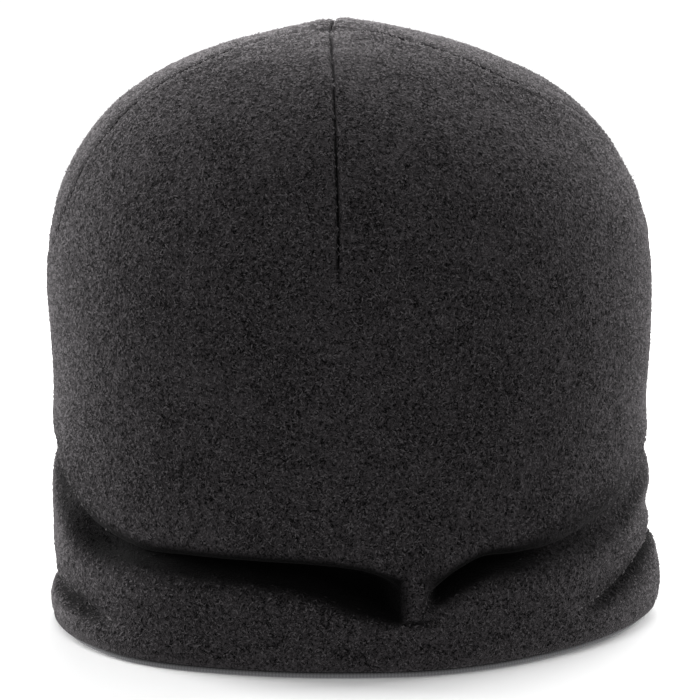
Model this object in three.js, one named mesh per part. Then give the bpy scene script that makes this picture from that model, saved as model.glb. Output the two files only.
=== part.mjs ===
// A fleece beanie: a soft close cap cut from one thick brushed cloth. Three darts and a back seam
// draw its top into a dome, and a thin facing is sewn inside its rim. It stands on the rim, filled
// out, with its lower wall slumped into a front fold and a back fold that meet over the ears.
// Millimetres, +Z up, front towards -Y, origin on the surface that it stands on, under its middle.
import * as THREE from "three";

// Driving sizes of the cap
const width = 185.6; // from ear to ear, at the shoulder
const depth = 196; // front to back, at the shoulder
const shoulder = 94; // height where the wall ends and the dome starts
const domeTop = 179.5; // height of the plain dome
const domeSquareness = 2.54; // 2 is an ellipse, more is a fuller dome
const apexPeak = { height: 3.8, radius: 22 }; // the seams gather the cloth into a low peak
const domeLean = -1.8; // its top leans to the left by this much
const seamsMeet = { x: -4.5, y: -11 }; // where the four seams meet, forward of the dome's middle
const seamBow = 20; // degrees that the side seams bow forward near the top
const centring = { x: -1.2, y: 0.3 }; // brings the cap's middle over the origin

// The cloth
const wall = 2.5; // brushed fleece, pile included
const seamTurn = -2.5; // degrees that the seams are turned, so that the front one is off the middle
const seamGroove = { depth: 1.1, halfWidth: 1.7 }; // the stitched line, sunk between two gores
const seamAllowance = { height: 2.6, halfWidth: 3.2 }; // the sewn edges that stand up inside
const goreFlatness = 0.3; // how far the top's round plan turns square between its four seams
const dartEnd = 117; // height where the three darts end
const dartFade = 8; // and the height over which they run out
const apexPinch = { depth: 1.2, radius: 5 }; // the dimple where the four seams meet

// How many degrees further forward the left and right darts run, by the share of the way up from
// the shoulder to the apex
const dartPath = [
  { rise: -0.7, left: 0, right: 0 },
  { rise: 0, left: 9, right: -1.5 },
  { rise: 0.2, left: 18, right: -3 },
  { rise: 0.37, left: 18.5, right: -1 },
  { rise: 0.44, left: 18, right: 3 },
  { rise: 0.53, left: 16.5, right: 9 },
  { rise: 0.64, left: 15, right: 15 },
  { rise: 0.72, left: 15, right: 15 },
  { rise: 0.8, left: 12.5, right: 11 },
  { rise: 0.9, left: 4, right: 6.5 },
  { rise: 1, left: 0, right: 0 },
];

// The rim and the facing sewn inside it
const rimRise = 2; // the outer cloth ends this far above the facing's turned edge
const hem = 7; // height of the sewn hem, and of the facing
const facingThickness = 1.6;
const facingEdge = 1.6; // thickness of its turned edge, which lies under the outer cloth
const seatGap = 0.3; // clearance between the two cloths
// How far in from the outer cloth the facing's turned edge lies: nearly flush round the front
const edge = { front: 0.3, elsewhere: 1.9, azimuth: 5, from: 32, over: 25 };

// How the rim stands round the cap: its lift off the surface and its flare past the shoulder
const rim = [
  { azimuth: -180, lift: 0, flare: -1.5 },
  { azimuth: -120, lift: 0, flare: -1.5 },
  { azimuth: -90, lift: 0, flare: -0.5 },
  { azimuth: -70, lift: 0, flare: 1.6 },
  { azimuth: -55, lift: 0, flare: 4.4 },
  { azimuth: -40, lift: 0, flare: 6.2 },
  { azimuth: -20, lift: 0, flare: 3 },
  { azimuth: 0, lift: 0, flare: 1.2 },
  { azimuth: 16, lift: 0, flare: 1 },
  { azimuth: 40, lift: 0.4, flare: -1.2 },
  { azimuth: 58, lift: 0.8, flare: -0.5 },
  { azimuth: 75, lift: 1.3, flare: 1 },
  { azimuth: 90, lift: 1.4, flare: 2 },
  { azimuth: 120, lift: 0.7, flare: 0.5 },
  { azimuth: 145, lift: 0, flare: -1.5 },
  { azimuth: 180, lift: 0, flare: -1.5 },
];

// The front fold. The roll under it ends at the crest, the cloth over it starts at the lip, and
// between them the wall is tucked in. It gapes left of the middle, closes to a point right of the
// middle where the upper cloth rests on the roll, and climbs and fades at both ears.
const frontFold = [
  { azimuth: -112, crest: 56, lip: 66, tuck: 0 },
  { azimuth: -90, crest: 47, lip: 60, tuck: 2.5 },
  { azimuth: -70, crest: 36.5, lip: 50, tuck: 5.5 },
  { azimuth: -57, crest: 29, lip: 37.5, tuck: 7.5 },
  { azimuth: -42, crest: 28.5, lip: 32, tuck: 8.5 },
  { azimuth: -29, crest: 27.5, lip: 31.5, tuck: 12 },
  { azimuth: -9, crest: 25, lip: 31, tuck: 15 },
  { azimuth: 2, crest: 18.5, lip: 29, tuck: 15 },
  { azimuth: 7, crest: 16.5, lip: 26.5, tuck: 13 },
  { azimuth: 8.8, crest: 16.5, lip: 25.8, tuck: 3 },
  { azimuth: 10.5, crest: 17, lip: 25, tuck: 0 },
  { azimuth: 13, crest: 19, lip: 24.5, tuck: 0 },
  { azimuth: 14.5, crest: 20.5, lip: 24.5, tuck: 3 },
  { azimuth: 17, crest: 22.5, lip: 26.5, tuck: 8 },
  { azimuth: 19, crest: 24, lip: 28.5, tuck: 9 },
  { azimuth: 25, crest: 28, lip: 32, tuck: 10 },
  { azimuth: 32, crest: 29.5, lip: 32.5, tuck: 8 },
  { azimuth: 42, crest: 30.5, lip: 34.5, tuck: 5 },
  { azimuth: 57, crest: 33, lip: 41, tuck: 3.5 },
  { azimuth: 77, crest: 42, lip: 52, tuck: 3 },
  { azimuth: 92, crest: 48, lip: 59, tuck: 2 },
  { azimuth: 112, crest: 56, lip: 66, tuck: 0 },
];

// The back fold, whose two ends tuck in under the front fold's roll. Azimuths go on past 180.
const backFold = [
  { azimuth: 44, crest: 9.5, lip: 12, tuck: 0 },
  { azimuth: 57, crest: 12.5, lip: 16, tuck: 3.5 },
  { azimuth: 68, crest: 18, lip: 22, tuck: 6 },
  { azimuth: 80, crest: 23.5, lip: 28, tuck: 8 },
  { azimuth: 92, crest: 26, lip: 31, tuck: 8.5 },
  { azimuth: 130, crest: 27, lip: 32, tuck: 9 },
  { azimuth: 180, crest: 25, lip: 31, tuck: 11 },
  { azimuth: 230, crest: 19, lip: 25, tuck: 9 },
  { azimuth: 266, crest: 12.5, lip: 16.5, tuck: 6 },
  { azimuth: 290, crest: 11, lip: 15, tuck: 6 },
  { azimuth: 302, crest: 9.5, lip: 13.5, tuck: 5.5 },
  { azimuth: 314, crest: 8.5, lip: 11, tuck: 0 },
];
const lipHeight = 12; // the upper cloth turns under within this height
const brow = 0.2; // a fold's crest and lip swell out by this share of its tuck
const overhang = 0.2; // behind the lip, the cloth climbs by this share of it
const tuckFloor = 0.2; // and it turns up from the roll at this share of the gap between crest and lip

// Where the other corners of the wall's section lie between the levels in the tables
const hemUnderCrest = 0.32; // the hem's top is no higher than this share of the front crest
const fullRoom = 20; // a front crest this far over the hem leaves the back fold its full height
const hemSwell = { out: 0.8, underBack: 1.5 }; // the hem's top swells, and keeps under the back crest
const roll = { share: 0.3, swell: 0.4 }; // the roll swells most at this share of its height
const wallShares = [0.42, 0.7]; // of the way from the front lip up to the shoulder

// Soft dents in the wall, and a few swellings, which have a negative depth
const dents = [
  { azimuth: 13, level: 22, across: 13, tall: 14, depth: -2.2 }, // over the fold's point
  { azimuth: 20, level: 82, across: 38, tall: 7, depth: 1 }, // a shallow hollow mid front
  { azimuth: 22, level: 44, across: 20, tall: 7, depth: 0.9 },
  { azimuth: -66, level: 44, across: 8, tall: 20, depth: -1 }, // a ridge down the left side
  { azimuth: -95, level: 22, across: 32, tall: 20, depth: 2.3 }, // the left side falls in a little
  { azimuth: 85, level: 10, across: 16, tall: 9, depth: -0.8 }, // the right end of the back roll
  { azimuth: 205, level: 70, across: 40, tall: 9, depth: 1.2 },
  { azimuth: 150, level: 52, across: 16, tall: 16, depth: 0.9 },
  { azimuth: -90, level: 72, across: 34, tall: 18, depth: 1.2 }, // a slight waist on both sides
  { azimuth: 90, level: 66, across: 34, tall: 18, depth: 1.1 },
  { azimuth: 92, level: 35, across: 30, tall: 6, depth: 3 }, // the notch over the right ear
  { azimuth: -92, level: 19.5, across: 26, tall: 3.5, depth: 1.5 }, // and a lower one on the left
];

// How finely the cloth is faceted
const columnsPerGore = [18, 10, 10, 14]; // front right, back right, back left, front left
const gather = { azimuth: 9, reach: 9, share: 0.45 }; // columns crowd towards the front fold's point
const rowsInSpan = 2; // between two of a section's points
const rowsInFold = 3; // the same where the section turns through a fold
const domeRows = 10;

const radians = Math.PI / 180;

function smooth(x) {
  const t = Math.min(1, Math.max(0, x));
  return t * t * (3 - 2 * t);
}

function bell(x) {
  return Math.exp(-x * x);
}

// An angle in degrees, brought within half a turn of another
function near(angle, middle) {
  return angle - 360 * Math.round((angle - middle) / 360);
}

// A table's column at a place, on a smooth curve through its rows
function along(table, place, column, by = "azimuth") {
  const last = table.length - 1;
  if (place <= table[0][by]) return table[0][column];
  if (place >= table[last][by]) return table[last][column];
  const i = table.findIndex((row) => row[by] > place) - 1;
  const slope = (from, to) =>
    (table[to][column] - table[from][column]) / (table[to][by] - table[from][by]);
  const before = slope(Math.max(0, i - 1), i + 1);
  const after = slope(i, Math.min(last, i + 2));
  const step = table[i + 1][by] - table[i][by];
  const t = (place - table[i][by]) / step;
  return (
    table[i][column] * (1 + 2 * t) * (1 - t) ** 2 +
    table[i + 1][column] * t * t * (3 - 2 * t) +
    before * step * t * (1 - t) ** 2 -
    after * step * t * t * (1 - t)
  );
}

// A fold's four corners in the section at an azimuth
function foldCorners(fold, middle, azimuth) {
  const place = near(azimuth, middle);
  const crest = along(fold, place, "crest");
  const lip = along(fold, place, "lip");
  const tuck = Math.max(0, along(fold, place, "tuck"));
  return [
    { out: brow * tuck, level: crest },
    { out: -tuck, level: crest + (lip - crest) * tuckFloor },
    { out: -tuck, level: lip + overhang * tuck },
    { out: brow * tuck, level: lip },
  ];
}

// The corners of the wall's section at an azimuth, from the rim to the shoulder
function sectionCorners(azimuth) {
  const place = near(azimuth, 0);
  const flare = along(rim, place, "flare");
  const lift = Math.max(0, along(rim, place, "lift"));
  const front = foldCorners(frontFold, 0, azimuth);
  const back = foldCorners(backFold, 180, azimuth);
  // Where the front fold comes low, the corners under it keep clear of its crest
  const hemTop = Math.min(hem, front[0].level * hemUnderCrest);
  const room = Math.min(1, (front[0].level - hemTop) / fullRoom);
  for (const corner of back) corner.level = hemTop + (corner.level - hem) * room;
  const rimLevel = rimRise + lift;
  const rollLevel = back[3].level + (front[0].level - back[3].level) * roll.share;
  const lip = front[3].level;
  const underFold = [
    { out: 0, level: rimLevel },
    { out: hemSwell.out, level: Math.min(hemTop, back[0].level - hemSwell.underBack) },
    ...back,
    { out: roll.swell, level: rollLevel },
  ];
  // The rim's flare runs out evenly on the way up to the front crest
  for (const corner of underFold) {
    corner.out += flare * (1 - (corner.level - rimLevel) / (front[0].level - rimLevel));
  }
  return [
    ...underFold,
    ...front,
    { out: 0, level: lip + lipHeight },
    ...wallShares.map((share) => ({ out: 0, level: lip + (shoulder - lip) * share })),
    { out: 0, level: shoulder },
  ];
}

const backFoldSpan = 2; // the first corner of the back fold
const frontFoldSpan = 7; // the first corner of the front fold
const straightSpan = 12; // from here up the wall is nearly straight
const wallSpans = 14;
const cornersAt = new Map();

// The wall's section at an azimuth and a climb, which counts the section's corners from the rim
function wallSection(azimuth, climb) {
  if (!cornersAt.has(azimuth)) cornersAt.set(azimuth, sectionCorners(azimuth));
  const corners = cornersAt.get(azimuth);
  const mirror = (a, b) => ({ out: 2 * a.out - b.out, level: 2 * a.level - b.level });
  const corner = (i) => {
    if (i < 0) return mirror(corners[0], corners[1]);
    if (i > wallSpans) return mirror(corners[wallSpans], corners[wallSpans - 1]);
    return corners[i];
  };
  const span = Math.min(wallSpans - 1, Math.floor(climb));
  const t = climb - span;
  const shares = [(1 - t) ** 3, 3 * t ** 3 - 6 * t * t + 4, -3 * t ** 3 + 3 * t * t + 3 * t + 1, t ** 3];
  const mix = (key) => shares.reduce((sum, share, k) => sum + share * corner(span - 1 + k)[key], 0) / 6;
  return { out: mix("out"), level: mix("level") };
}

// How much of the shoulder's half width is left, a share of the way up the dome
function domeReach(climb) {
  const turn = Math.min(1, Math.max(0, climb - wallSpans)) * 90 * radians;
  return Math.max(0, Math.cos(turn)) ** (2 / domeSquareness);
}

// How many degrees forward a side dart runs there. Other columns go with it, by how far aside they are.
function swing(azimuth, climb) {
  const side = near(azimuth, 0) < 0 ? "left" : "right";
  return seamBow * (1 - domeReach(climb) ** 2) + along(dartPath, climb - wallSpans, side, "rise");
}

// The cloth's outer face at an azimuth from the front, in degrees, and a climb, which goes on one
// past the shoulder to the apex
function clothPoint(azimuth, climb) {
  const reach = domeReach(climb);
  const angle = (azimuth - swing(azimuth, climb) * Math.sin(azimuth * radians)) * radians;
  const turned = (azimuth - seamTurn) * radians;
  const power = 2 - goreFlatness * smooth((1 - reach) / 0.5);
  const square =
    (Math.abs(Math.sin(turned)) ** power + Math.abs(Math.cos(turned)) ** power) ** (-1 / power);
  const x = seamsMeet.x * (1 - reach) + (width / 2) * reach * square * Math.sin(angle);
  const y = seamsMeet.y * (1 - reach) - (depth / 2) * reach * square * Math.cos(angle);
  if (climb > wallSpans) {
    const share = Math.hypot((2 * x) / width, (2 * y) / depth) / square;
    const rise = Math.max(0, 1 - share ** domeSquareness) ** (1 / domeSquareness);
    const peak = apexPeak.height * bell(Math.hypot(x, y) / apexPeak.radius);
    const level = shoulder + (domeTop - shoulder) * rise + peak;
    return new THREE.Vector3(centring.x + x + domeLean * smooth(rise), centring.y + y, level);
  }
  const section = wallSection(azimuth, climb);
  let out = section.out;
  for (const dent of dents) {
    const aside = (near(azimuth - dent.azimuth, 0) * radians * width) / 2 / dent.across;
    out -= dent.depth * bell(aside) * bell((section.level - dent.level) / dent.tall);
  }
  return new THREE.Vector3(
    centring.x + x + out * Math.sin(angle),
    centring.y + y - out * Math.cos(angle),
    section.level,
  );
}

// The direction out of the cloth there. It is level at the rim, so that the cut edge is flat.
function outward(azimuth, climb) {
  const sideStep = 0.5;
  const climbStep = 0.06;
  const highest = wallSpans + 0.985; // just short of the apex
  const levelClimb = 0.7; // the hem's normals are level at the rim, and true from here up
  const high = Math.min(highest, climb + climbStep);
  const low = Math.max(0, Math.min(climb, highest - climbStep) - climbStep);
  const middle = (high + low) / 2;
  const across = clothPoint(azimuth + sideStep, middle).sub(clothPoint(azimuth - sideStep, middle));
  const upwards = clothPoint(azimuth, high).sub(clothPoint(azimuth, low));
  const normal = across.cross(upwards).normalize();
  normal.z *= smooth(climb / levelClimb);
  return normal.normalize();
}

// Distance in millimetres from the nearest of the four seams, and whether that seam runs here
function seamAt(azimuth, climb) {
  const nearest = Math.round((azimuth - seamTurn) / 90);
  const aside = (azimuth - seamTurn - 90 * nearest) * radians;
  const isBack = ((nearest % 4) + 4) % 4 === 2;
  const reach = domeReach(climb);
  const level = clothPoint(azimuth, climb).z;
  const sewn = isBack ? 1 : smooth((level - dartEnd) / dartFade + 0.5);
  const radius = (width / 2) * reach;
  const bowed = 1 - radians * swing(azimuth, climb) * Math.cos(azimuth * radians);
  return { distance: aside * radius * bowed, sewn, level, radius };
}

function outerPoint(azimuth, climb) {
  const seam = seamAt(azimuth, climb);
  const sunk =
    seamGroove.depth * seam.sewn * bell(seam.distance / seamGroove.halfWidth) +
    apexPinch.depth * bell(seam.radius / apexPinch.radius);
  return clothPoint(azimuth, climb).addScaledVector(outward(azimuth, climb), -sunk);
}

function innerPoint(azimuth, climb) {
  const seam = seamAt(azimuth, climb);
  const aboveHem = smooth((seam.level - 2 * hem) / hem);
  const ridge = bell(seam.distance / seamAllowance.halfWidth) * seam.sewn * aboveHem;
  const pinch = apexPinch.depth * bell(seam.radius / apexPinch.radius);
  const inwards = wall + seamAllowance.height * ridge + pinch;
  return clothPoint(azimuth, climb).addScaledVector(outward(azimuth, climb), -inwards);
}

// A column's azimuth, moved closer to the front fold's point, where the cloth turns most sharply
function gathered(azimuth) {
  const aside = gather.azimuth - azimuth;
  return azimuth + gather.share * aside * bell(aside / gather.reach);
}

// Azimuths of the columns: spread over each gore, with one close beside each seam
function columnAzimuths() {
  const beside = 2;
  return columnsPerGore.flatMap((columns, gore) => {
    const start = seamTurn + 90 * gore;
    const step = (90 - 2 * beside) / (columns - 2);
    const between = Array.from({ length: columns - 1 }, (_, i) => start + beside + step * i);
    return [start, ...between.map(gathered)];
  });
}

// Climbs of the rows, closer together in the folds
function rowClimbs() {
  const climbs = [];
  for (let span = 0; span < wallSpans; span += 1) {
    const turns = [backFoldSpan, frontFoldSpan].some((first) => span >= first && span < first + 3);
    const rows = turns || span === 0 ? rowsInFold : span < straightSpan ? rowsInSpan : 1;
    for (let i = 0; i < rows; i += 1) climbs.push(span + i / rows);
  }
  for (let i = 0; i < domeRows; i += 1) climbs.push(wallSpans + i / domeRows);
  return climbs;
}

// Joins closed loops of points, one inside the next, into a solid's faces
class Shell {
  constructor(loopLength) {
    this.loopLength = loopLength;
    this.points = [];
    this.faces = [];
  }

  addLoop(points) {
    this.points.push(...points);
    return this.points.length - this.loopLength;
  }

  addPoint(point) {
    this.points.push(point);
    return this.points.length - 1;
  }

  // Faces between a lower loop and an upper one. Both sides of a cloth are split along the same
  // diagonals, so that they stay parallel.
  band(lower, upper, facesIn = false) {
    for (let i = 0; i < this.loopLength; i += 1) {
      const j = (i + 1) % this.loopLength;
      for (const [a, b, c] of [[lower + i, lower + j, upper + j], [lower + i, upper + j, upper + i]]) {
        this.faces.push(a, facesIn ? c : b, facesIn ? b : c);
      }
    }
  }

  fan(loop, centre, facesUp) {
    for (let i = 0; i < this.loopLength; i += 1) {
      const j = (i + 1) % this.loopLength;
      this.faces.push(loop + (facesUp ? i : j), loop + (facesUp ? j : i), centre);
    }
  }

  geometry() {
    const flat = new Float32Array(this.points.flatMap((p) => [p.x, p.y, p.z]));
    const made = new THREE.BufferGeometry();
    made.setAttribute("position", new THREE.BufferAttribute(flat, 3));
    made.setIndex(this.faces);
    made.computeVertexNormals();
    return made;
  }
}

// The crown: outer face, flat cut edge at the rim, and inner face with its seam allowances
function crownGeometry() {
  const azimuths = columnAzimuths();
  const climbs = rowClimbs();
  const shell = new Shell(azimuths.length);
  const outer = climbs.map((climb) => shell.addLoop(azimuths.map((a) => outerPoint(a, climb))));
  const inner = climbs.map((climb) => shell.addLoop(azimuths.map((a) => innerPoint(a, climb))));
  outer.slice(1).forEach((loop, i) => shell.band(outer[i], loop));
  inner.slice(1).forEach((loop, i) => shell.band(inner[i], loop, true));
  shell.band(inner[0], outer[0]);
  const apex = clothPoint(0, wallSpans + 1);
  const drop = new THREE.Vector3(0, 0, -1);
  shell.fan(outer.at(-1), shell.addPoint(apex.clone().addScaledVector(drop, apexPinch.depth)), true);
  const under = apex.clone().addScaledVector(drop, apexPinch.depth + wall + seamAllowance.height);
  shell.fan(inner.at(-1), shell.addPoint(under), false);
  return shell.geometry();
}

// The facing: a strip inside the rim, with its lower edge turned out under the outer cloth
function facingGeometry() {
  const azimuths = columnAzimuths();
  const climbs = rowClimbs().filter((climb) => climb <= 1);
  const shell = new Shell(azimuths.length);
  const offset = (a, climb, inwards) =>
    clothPoint(a, climb).addScaledVector(outward(a, climb), -inwards);
  const rimPoint = (a, inwards, level) => {
    const point = offset(a, 0, inwards);
    point.z = level + Math.max(0, along(rim, near(a, 0), "lift"));
    return point;
  };
  const loop = (make) => shell.addLoop(azimuths.map(make));
  const outside = wall + seatGap;
  const inside = outside + facingThickness;
  const edgeInset = (a) => {
    const pastFront = smooth((Math.abs(near(a, edge.azimuth)) - edge.from) / edge.over);
    return edge.front + (edge.elsewhere - edge.front) * pastFront;
  };
  const outer = [
    loop((a) => rimPoint(a, edgeInset(a), 0)),
    loop((a) => rimPoint(a, edgeInset(a), facingEdge)),
    loop((a) => rimPoint(a, outside, facingEdge)),
    ...climbs.slice(1).map((climb) => loop((a) => offset(a, climb, outside))),
  ];
  const inner = [
    loop((a) => rimPoint(a, inside, 0)),
    ...climbs.slice(1).map((climb) => loop((a) => offset(a, climb, inside))),
  ];
  outer.slice(1).forEach((next, i) => shell.band(outer[i], next));
  inner.slice(1).forEach((next, i) => shell.band(inner[i], next, true));
  shell.band(outer.at(-1), inner.at(-1));
  shell.band(inner[0], outer[0]);
  return shell.geometry();
}

function part(name, geometry, colour) {
  const material = new THREE.MeshStandardMaterial({ color: colour, roughness: 1, metalness: 0 });
  const mesh = new THREE.Mesh(geometry, material);
  mesh.name = name;
  return mesh;
}

const beanie = new THREE.Group();
beanie.add(part("crown", crownGeometry(), 0x3a393b));
beanie.add(part("hem_facing", facingGeometry(), 0x68686a));

export default beanie;
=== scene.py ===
"""A dark grey fleece beanie, standing filled out on its rim on a white studio floor."""

import math

import bpy
import numpy as np
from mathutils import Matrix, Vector, noise


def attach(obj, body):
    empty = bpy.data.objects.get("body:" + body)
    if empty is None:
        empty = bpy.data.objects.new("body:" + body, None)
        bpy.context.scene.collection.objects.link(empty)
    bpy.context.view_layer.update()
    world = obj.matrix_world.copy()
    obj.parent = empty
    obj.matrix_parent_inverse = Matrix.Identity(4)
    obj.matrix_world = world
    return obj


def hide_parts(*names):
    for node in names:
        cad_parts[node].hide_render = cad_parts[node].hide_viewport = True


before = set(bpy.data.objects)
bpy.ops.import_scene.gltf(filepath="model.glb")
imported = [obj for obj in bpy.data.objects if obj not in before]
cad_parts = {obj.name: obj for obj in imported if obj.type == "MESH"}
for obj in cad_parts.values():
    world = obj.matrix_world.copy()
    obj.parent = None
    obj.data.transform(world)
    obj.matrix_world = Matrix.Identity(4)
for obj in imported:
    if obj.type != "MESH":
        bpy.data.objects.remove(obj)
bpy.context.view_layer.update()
bpy.ops.object.select_all(action="DESELECT")

# The studio: a camera at the photograph's angle, a white floor, and broad soft lights at the sides,
# above and behind the cap, so that its edges glow and its front stays dark.
MM = 0.001
PHOTO_WIDTH_PX = 700
PX_PER_MM = 3.226
CAMERA_DISTANCE = 1200 * MM
CAMERA_ELEVATION = math.radians(8.2)
CAMERA_TARGET = Vector((-1.2, 0, 81.4)) * MM
SENSOR_MM = 36
back_off = Vector((0, -math.cos(CAMERA_ELEVATION), math.sin(CAMERA_ELEVATION)))
bpy.ops.object.camera_add(location=CAMERA_TARGET + back_off * CAMERA_DISTANCE)
camera = bpy.context.object
camera.rotation_euler = (math.pi / 2 - CAMERA_ELEVATION, 0, 0)
camera.data.sensor_width = SENSOR_MM
camera.data.lens = SENSOR_MM * PX_PER_MM * CAMERA_DISTANCE / MM / PHOTO_WIDTH_PX
camera.data.clip_end = 100
bpy.context.scene.camera = camera
bpy.context.scene.view_settings.view_transform = "Standard"
bpy.context.scene.view_settings.look = "None"


def linear(hex_colour):
    """An sRGB hex colour as linear red, green, blue and alpha."""
    channels = [int(hex_colour[i : i + 2], 16) / 255 for i in (1, 3, 5)]
    return [c / 12.92 if c <= 0.04045 else ((c + 0.055) / 1.055) ** 2.4 for c in channels] + [1.0]


def add_node(tree, kind, settings=None, values=None, links=None):
    """Adds a node with its settings, the values of its inputs, and links into its inputs."""
    node = tree.nodes.new(kind)
    for name, value in (settings or {}).items():
        setattr(node, name, value)
    for name, value in (values or {}).items():
        node.inputs[name].default_value = value
    for name, output in (links or {}).items():
        tree.links.new(output, node.inputs[name])
    return node


def new_material(name):
    """A material with an empty node tree, and that tree."""
    material = bpy.data.materials.new(name)
    material.use_nodes = True
    material.node_tree.nodes.clear()
    return material, material.node_tree


# The room is bright behind the cap and dimmer in front of it and overhead, and plain white to the eye
WHITE_TO_THE_EYE = 1.1
world = bpy.data.worlds.new("white_studio")
bpy.context.scene.world = world
world.use_nodes = True
sky = world.node_tree
sky.nodes.clear()
direction = add_node(sky, "ShaderNodeTexCoord")
axes = add_node(sky, "ShaderNodeSeparateXYZ", links={"Vector": direction.outputs["Generated"]})
towards_back = add_node(
    sky,
    "ShaderNodeMapRange",
    {"interpolation_type": "SMOOTHSTEP"},
    {"From Min": -0.8, "From Max": 0.7, "To Min": 0.5, "To Max": 0.8},
    {"Value": axes.outputs["Y"]},
)
above_floor = add_node(
    sky,
    "ShaderNodeMapRange",
    {"interpolation_type": "SMOOTHSTEP"},
    {"From Min": -0.25, "From Max": 0.7, "To Min": 1.15, "To Max": 0.8},
    {"Value": axes.outputs["Z"]},
)
lit = add_node(
    sky,
    "ShaderNodeMath",
    {"operation": "MULTIPLY"},
    links={0: towards_back.outputs["Result"], 1: above_floor.outputs["Result"]},
)
seen = add_node(sky, "ShaderNodeLightPath")
brightness = add_node(
    sky,
    "ShaderNodeMix",
    {"data_type": "FLOAT"},
    {"B": WHITE_TO_THE_EYE},
    {"Factor": seen.outputs["Is Camera Ray"], "A": lit.outputs["Value"]},
)
glow = add_node(
    sky,
    "ShaderNodeBackground",
    values={"Color": (1, 1, 1, 1)},
    links={"Strength": brightness.outputs["Result"]},
)
add_node(sky, "ShaderNodeOutputWorld", links={"Surface": glow.outputs["Background"]})

# The floor takes the cap's shadow and throws no light back at it, as if flagged off
FLOOR_RADIUS = 1250 * MM
bpy.ops.mesh.primitive_circle_add(vertices=96, radius=FLOOR_RADIUS, fill_type="NGON")
floor = bpy.context.object
floor.name = "floor"
floor.visible_diffuse = False
floor.visible_glossy = False
floor.visible_shadow = False
paint, tree = new_material("white_painted_floor")
shader = add_node(
    tree, "ShaderNodeBsdfPrincipled", values={"Base Color": linear("#fbfbfb"), "Roughness": 0.9}
)
add_node(tree, "ShaderNodeOutputMaterial", links={"Surface": shader.outputs["BSDF"]})
floor.data.materials.append(paint)

# Each soft light: its name, place and size in metres, and its power in watts. All point at the cap.
CAP_MIDDLE = Vector((0, 0, 90)) * MM
SOFT_LIGHTS = [
    ("left_back", (-1.5, 0.95, 0.6), 1.1, 48),
    ("right_back", (1.4, 0.95, 0.8), 1.1, 34),
    ("top_back", (0.3, 1.3, 1.3), 1.2, 26),
    ("overhead", (-0.45, 0.05, 2.2), 1.6, 14),
]
for name, place, side, watts in SOFT_LIGHTS:
    bpy.ops.object.light_add(type="AREA", location=place)
    lamp = bpy.context.object
    lamp.name = name
    lamp.data.size = side
    lamp.data.energy = watts
    lamp.rotation_euler = (CAP_MIDDLE - lamp.location).to_track_quat("-Z", "Y").to_euler()
bpy.ops.object.select_all(action="DESELECT")

# The crown: one cloth of thick brushed fleece, closed at the top by three darts and a back seam.
# It is cut, sewn inside out and turned, and here it stands filled out, with its lower wall slumped
# into a front fold and a back fold. Its sizes are in millimetres and degrees from the front.
WIDTH, DEPTH = 185.6, 196.0
SHOULDER, DOME_TOP = 94.0, 179.5  # the levels where the wall turns into the dome and where that ends
DOME_SQUARENESS = 2.54  # 2 would be a plain ellipse
PEAK_HEIGHT, PEAK_RADIUS = 3.8, 22.0
DOME_LEAN = -1.8
SEAMS_MEET_X, SEAMS_MEET_Y = -4.5, -11.0
SEAM_BOW, SEAM_TURN = 20.0, -2.5
GORE_FLATNESS, GORE_ONSET = 0.3, 0.5  # how flat the cloth is between seams, and how soon up the dome
CENTRING_X, CENTRING_Y = -1.2, 0.3
WALL = 2.5
DART_END, DART_FADE = 117.0, 8.0

# The corners of the wall's section, from the rim up: the hem, the back fold, the roll over it, the
# front fold, and the plain wall. A fold's crest and lip stand out, and its tuck reaches up behind the
# lip, by shares of the tuck's depth.
RIM_RISE, HEM = 2.0, 7.0
HEM_SWELL, HEM_UNDER_BACK = 0.8, 1.5
HEM_UNDER_CREST, FULL_ROOM = 0.32, 20.0  # a low front crest presses the hem and the back fold lower
BROW, OVERHANG, TUCK_FLOOR = 0.2, 0.2, 0.2
ROLL_SHARE, ROLL_SWELL = 0.3, 0.4
LIP_HEIGHT = 12.0
WALL_SHARES = (0.42, 0.7)
WALL_SPANS = 14

# How many degrees further forward each side dart runs, by the share of the way up the dome
DART_PATH = np.array(
    [
        (-0.7, 0, 0),
        (0, 9, -1.5),
        (0.2, 18, -3),
        (0.37, 18.5, -1),
        (0.44, 18, 3),
        (0.53, 16.5, 9),
        (0.64, 15, 15),
        (0.72, 15, 15),
        (0.8, 12.5, 11),
        (0.9, 4, 6.5),
        (1, 0, 0),
    ],
    dtype=[("rise", float), ("left", float), ("right", float)],
)
# How far the rim is lifted off the floor and flares out, all the way round
RIM = np.array(
    [
        (-180, 0, -1.5),
        (-120, 0, -1.5),
        (-90, 0, -0.5),
        (-70, 0, 1.6),
        (-55, 0, 4.4),
        (-40, 0, 6.2),
        (-20, 0, 3),
        (0, 0, 1.2),
        (16, 0, 1),
        (40, 0.4, -1.2),
        (58, 0.8, -0.5),
        (75, 1.3, 1),
        (90, 1.4, 2),
        (120, 0.7, 0.5),
        (145, 0, -1.5),
        (180, 0, -1.5),
    ],
    dtype=[("azimuth", float), ("lift", float), ("flare", float)],
)
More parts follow.
